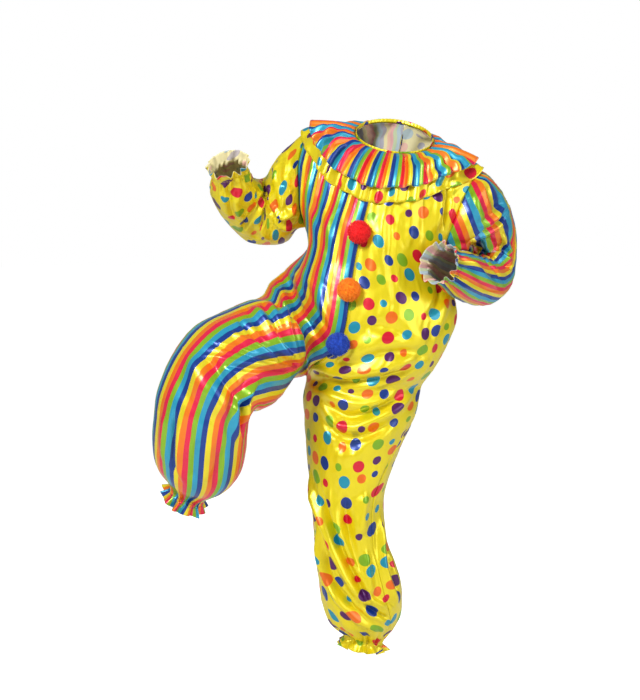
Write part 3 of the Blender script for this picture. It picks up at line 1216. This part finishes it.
# The part: groups and looks first, then the body, the ruffles, the pompoms and the threads
groups = {"striped": stripeGroup(), "dotted": dotGroup(), "satin": satinGroup()}
looks = {
    "striped": satin("stripedSatin", "striped"),
    "stripedWrong": satin("stripedSatinWrongSide", "striped", True),
    "dotted": satin("dottedSatin", "dotted"),
    "dottedWrong": satin("dottedSatinWrongSide", "dotted", True),
    "pompomRed": yarn("redYarn", (1.0, 0.010, 0.014), (0.80, 0.004, 0.006)),
    "pompomOrange": yarn("orangeYarn", (1.0, 0.34, 0.003), (0.98, 0.21, 0.002)),
    "pompomBlue": yarn("blueYarn", (0.018, 0.11, 0.70), (0.008, 0.045, 0.36)),
    "yellowThread": threadPaint("yellowThread", (0.78, 0.62, 0.03)),
    "blueThread": threadPaint("blueThread", (0.03, 0.09, 0.36)),
}
slots = {"frontRight": "stripedSatin", "backRight": "stripedSatin", "sleeveLeft": "stripedSatin",
         "collarUpper": "stripedSatin", "frontLeft": "dottedSatin", "backLeft": "dottedSatin",
         "sleeveRight": "dottedSatin", "collarLower": "dottedSatin", "neckBinding": "dottedSatin",
         "pompomRed": "redYarn", "pompomOrange": "orangeYarn", "pompomBlue": "blueYarn"}

panels = [makePanel("frontRight", -1, 1), makePanel("backRight", -1, -1),
          makePanel("frontLeft", 1, 1), makePanel("backLeft", 1, -1)]
body = panels + [makeSleeve("sleeveRight", -1), makeSleeve("sleeveLeft", 1)]
print("cut", {p.name: p.rows.shape[:2] for p in body})
smoothNormals(body)
folds = placeFolds(treeOf(body))
for piece in body:
    dressCloth(piece, folds)
print("folded", len(folds), "folds by hand")

dressed = treeOf(body)
lower = makeRuffle("collarLower", dressed)
upper = makeRuffle("collarUpper", dressed)
neckTape = makeBinding()
smoothNormals(body)
print("ruffles and binding")

clothThickness = 0.0007
for piece in body + [lower, upper, neckTape]:
    look = "striped" if slots[piece.name] == "stripedSatin" else "dotted"
    item = meshObject(piece.name + "Cloth", piece, [looks[look], looks[look + "Wrong"]], clothThickness)
    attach(item, "root")
    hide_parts(piece.name)
    corner = piece.rows[:-1, :-1]
    area = np.linalg.norm(np.cross(piece.rows[1:, :-1] - corner, piece.rows[:-1, 1:] - corner), axis=2).sum()
    print("sewn", piece.name, len(item.data.polygons), round(float(area), 3))

for name in ("pompomRed", "pompomOrange", "pompomBlue"):
    item = makePompom(name, len(name))
    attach(item, "root")
    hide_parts(name)
print("pompoms")

# threads: stitch length, gap, thickness and swing from side to side
thread = {"serge": (0.0032, 0.0002, 0.0012, 0.0042), "topstitch": (0.0030, 0.0014, 0.0008),
          "hem": (0.0026, 0.0006, 0.0010, 0.0016), "elastic": (0.0028, 0.0008, 0.0011, 0.0024)}
seamLift, hemLift, elasticLift = 0.0009, 0.0006, 0.0005  # off the cloth


def seamRun(piece, column, rows, kind):
    # stitches down a panel, a little inside its edge
    normals = piece.normals[rows, column]
    return (piece.rows[rows, column] + normals * seamLift, normals) + thread[kind]


frontRight, frontLeft = panels[0], panels[2]
chest = slice(3, int(np.searchsorted(frontLeft.places, float(trunk["hipRow"]))))
yellowRuns = [seamRun(frontLeft, 2, chest, "serge")]
blueRuns = [seamRun(frontRight, -2, chest, "topstitch")]
for piece, many in ((lower, yellowRuns), (upper, blueRuns)):
    smoothNormals([piece])
    for side in (1, -1):
        normals = piece.normals[-2]
        many.append((piece.rows[-2] + normals * hemLift * side, normals * side) + thread["hem"])
for piece in body:
    many = blueRuns if slots[piece.name] == "stripedSatin" else yellowRuns
    for row in (piece.elasticRow - 2, piece.elasticRow + 2):
        normals = piece.normals[row]
        many.append((piece.rows[row] + normals * elasticLift, normals) + thread["elastic"])
for name, many, paint, slot in (("yellowStitches", yellowRuns, "yellowThread", "dottedSatin"),
                                ("blueStitches", blueRuns, "blueThread", "stripedSatin")):
    item = stitches(name, many, looks[paint])
    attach(item, "root")
    print("stitches", name, len(item.data.polygons))

view = {"lens": 100.84, "sensor": 36.0, "place": (-0.19125, -4.98782, -0.20457), "tilt": 86.0}
camera = bpy.data.objects.new("camera", bpy.data.cameras.new("camera"))
camera.data.lens, camera.data.sensor_width = view["lens"], view["sensor"]
camera.location, camera.rotation_euler = view["place"], (math.radians(view["tilt"]), 0.0, 0.0)
bpy.context.scene.collection.objects.link(camera)
bpy.context.scene.camera = camera

studio = {"world": 0.29, "key": 118.0, "fill": 46.0, "top": 12.0, "back": 30.0, "floorGlow": 0.76,
          "floorLevel": -1.43, "floorHalfSize": 40.0, "floorShade": 0.86}


def softLight(name, where, size, power, shine=1.0, aim=(-0.2, 0.0, -0.6)):
    lamp = bpy.data.lights.new(name, "AREA")
    lamp.shape, lamp.size, lamp.energy, lamp.specular_factor = "SQUARE", size, power, shine
    item = bpy.data.objects.new(name, lamp)
    item.location, item.visible_glossy = where, shine > 0.5
    item.rotation_euler = (Vector(aim) - Vector(where)).to_track_quat("-Z", "Y").to_euler()
    bpy.context.scene.collection.objects.link(item)


softLight("keyLight", (-1.7, -2.9, 1.5), 0.9, studio["key"])
softLight("fillLight", (2.6, -1.8, 0.3), 2.2, studio["fill"])
softLight("topLight", (0.3, -0.3, 2.3), 1.0, studio["top"], 0.2)
softLight("backLight", (-0.8, 3.2, 1.0), 1.4, studio["back"], 0.15)
# white behind, a softer grey as light
world = bpy.data.worlds.new("paleStudio")
world.use_nodes = True
sky = world.node_tree
soft, white, seen, either = (sky.nodes["Background"], sky.nodes.new("ShaderNodeBackground"),
                             sky.nodes.new("ShaderNodeLightPath"), sky.nodes.new("ShaderNodeMixShader"))
setInputs(soft, {"Color": (1.0, 1.0, 1.0, 1.0), "Strength": studio["world"]})
setInputs(white, {"Color": (1.0, 1.0, 1.0, 1.0), "Strength": 1.0})
sky.links.new(seen.outputs["Is Camera Ray"], either.inputs[0])
sky.links.new(soft.outputs[0], either.inputs[1])
sky.links.new(white.outputs[0], either.inputs[2])
sky.links.new(either.outputs[0], sky.nodes["World Output"].inputs[0])
bpy.context.scene.world = world
bpy.context.scene.view_settings.view_transform = "Standard"

# the floor glows for the camera only, so that it looks as white as the world
half, level = studio["floorHalfSize"], studio["floorLevel"]
corners = [(x * half, y * half, level) for x, y in ((-1, -1), (1, -1), (1, 1), (-1, 1))]
paleFloor, floorTree, shader = newPaint("paleFloor")
setInputs(shader, {"Base Color": (studio["floorShade"],) * 3 + (1,), "Roughness": 0.9,
                   "Emission Color": (1, 1, 1, 1)})
glow = math2(floorTree, "MULTIPLY", floorTree.nodes.new("ShaderNodeLightPath").outputs["Is Camera Ray"],
             studio["floorGlow"])
floorTree.links.new(glow, shader.inputs["Emission Strength"])
floor = joinedMesh("floor", corners, [(0, 1, 2, 3)], paleFloor, smooth=False)
